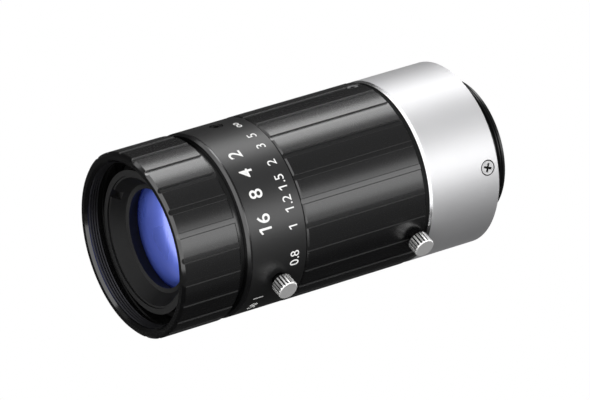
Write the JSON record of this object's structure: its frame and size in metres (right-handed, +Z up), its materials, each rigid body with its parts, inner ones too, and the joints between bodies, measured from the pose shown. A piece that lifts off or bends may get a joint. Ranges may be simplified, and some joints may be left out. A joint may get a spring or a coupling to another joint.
{
  "type": "c-mount machine vision lens",
  "caption": "Fixed focal length machine vision lens with separate focus and iris rings, lock thumbscrews, a female filter thread and a one inch screw mount.",
  "frame": {"origin": "centre of the screw mount, in the plane of the flange that meets the camera", "axes": "+Y along the optical axis from the lens into the camera, so the lens looks towards -Y. +Z is up, with the lock thumbscrews on the +X side"},
  "size_m": [0.0365, 0.0709, 0.0336],
  "materials": {
    "black_barrel": "smooth black anodised, semi-gloss",
    "black_grip": "fine turned, black anodised",
    "black_inner": "matt black anodised",
    "black_mount": "black anodised thread",
    "bright_barrel": "fine turned, bright satin",
    "bright_screw": "bright",
    "black_screw": "blackened",
    "steel_pin": "ground",
    "blade": "matt black",
    "coated_glass": "blue-violet anti-reflection coating",
    "inner_glass": "anti-reflection coating"
  },
  "bodies": {
    "mount_base": {"mount_barrel": "bright_barrel", "c_mount_ring": "black_mount", "mount_screw_1": "bright_screw", "mount_screw_2": "bright_screw", "mount_screw_3": "bright_screw", "guide_barrel": "black_inner", "focus_retainer": "black_inner", "focus_stop_pin": "steel_pin"},
    "focus_body": {"focus_ring": "black_grip", "focus_plug_screw_1": "bright_screw", "focus_plug_screw_2": "bright_screw"},
    "focus_lock_body": {"focus_lock_screw": "bright_screw"},
    "front_unit": {"front_barrel": "black_barrel", "scale_band": "black_barrel", "lens_cell": "black_inner", "rear_cell": "black_inner", "front_retaining_ring": "black_inner", "iris_retainer": "black_inner", "front_element": "coated_glass", "spacer_ring": "black_inner", "front_pair_crown": "inner_glass", "front_pair_flint": "inner_glass", "iris_base_plate": "black_inner", "rear_pair_flint": "inner_glass", "rear_pair_crown": "inner_glass", "rear_spacer": "black_inner", "rear_element": "inner_glass", "rear_retaining_ring": "black_inner", "guide_key_1": "steel_pin", "guide_key_2": "steel_pin", "iris_plug_screw_1": "black_screw", "iris_plug_screw_2": "black_screw"},
    "iris_body": {"iris_ring": "black_grip", "iris_drive_pin": "steel_pin", "iris_cam_ring": "black_inner"},
    "iris_lock_body": {"iris_lock_screw": "bright_screw"},
    "iris_blade_1_body": {"iris_blade_1": "blade"},
    "iris_blade_2_body": {"iris_blade_2": "blade"},
    "iris_blade_3_body": {"iris_blade_3": "blade"},
    "iris_blade_4_body": {"iris_blade_4": "blade"},
    "iris_blade_5_body": {"iris_blade_5": "blade"},
    "iris_blade_6_body": {"iris_blade_6": "blade"}
  },
  "joints": [
    {"name": "focus_turn", "type": "hinge", "parent": "mount_base", "child": "focus_body", "pos_m": [0, -0.0285, 0], "axis": [0, 1, 0], "range_deg": [0, 100]},
    {"name": "focus_travel", "type": "slide", "parent": "mount_base", "child": "front_unit", "axis": [0, -1, 0], "range_m": [0, 0.0033]},
    {"name": "iris_turn", "type": "hinge", "parent": "front_unit", "child": "iris_body", "pos_m": [0, -0.0553, 0], "axis": [0, 1, 0], "range_deg": [0, 50.5]},
    {"name": "focus_lock_turn", "type": "hinge", "parent": "focus_body", "child": "focus_lock_body", "pos_m": [0, -0.0179, 0], "axis": [-0.9511, 0, 0.309], "range_deg": [-360, 90]},
    {"name": "iris_lock_turn", "type": "hinge", "parent": "front_unit", "child": "iris_lock_body", "pos_m": [0, -0.0468, 0], "axis": [-0.9511, 0, 0.309], "range_deg": [-360, 90]},
    {"name": "iris_blade_1_turn", "type": "hinge", "parent": "front_unit", "child": "iris_blade_1_body", "pos_m": [0.0109, -0.0445, -0.00014], "axis": [0, 1, 0], "range_deg": [0, 28.1]},
    {"name": "iris_blade_2_turn", "type": "hinge", "parent": "front_unit", "child": "iris_blade_2_body", "pos_m": [0.00533, -0.0445, -0.00951], "axis": [0, 1, 0], "range_deg": [0, 28.1]},
    {"name": "iris_blade_3_turn", "type": "hinge", "parent": "front_unit", "child": "iris_blade_3_body", "pos_m": [-0.00557, -0.0445, -0.00937], "axis": [0, 1, 0], "range_deg": [0, 28.1]},
    {"name": "iris_blade_4_turn", "type": "hinge", "parent": "front_unit", "child": "iris_blade_4_body", "pos_m": [-0.0109, -0.0445, 0.00014], "axis": [0, 1, 0], "range_deg": [0, 28.1]},
    {"name": "iris_blade_5_turn", "type": "hinge", "parent": "front_unit", "child": "iris_blade_5_body", "pos_m": [-0.00533, -0.0445, 0.00951], "axis": [0, 1, 0], "range_deg": [0, 28.1]},
    {"name": "iris_blade_6_turn", "type": "hinge", "parent": "front_unit", "child": "iris_blade_6_body", "pos_m": [0.00557, -0.0445, 0.00937], "axis": [0, 1, 0], "range_deg": [0, 28.1]}
  ],
  "couplings": [
    {"joint": "focus_turn", "follows": "focus_travel", "rad_per_m": 528.89},
    {"joint": "iris_blade_1_turn", "follows": "iris_turn", "ratio": 0.55644},
    {"joint": "iris_blade_2_turn", "follows": "iris_turn", "ratio": 0.55644},
    {"joint": "iris_blade_3_turn", "follows": "iris_turn", "ratio": 0.55644},
    {"joint": "iris_blade_4_turn", "follows": "iris_turn", "ratio": 0.55644},
    {"joint": "iris_blade_5_turn", "follows": "iris_turn", "ratio": 0.55644},
    {"joint": "iris_blade_6_turn", "follows": "iris_turn", "ratio": 0.55644}
  ]
}
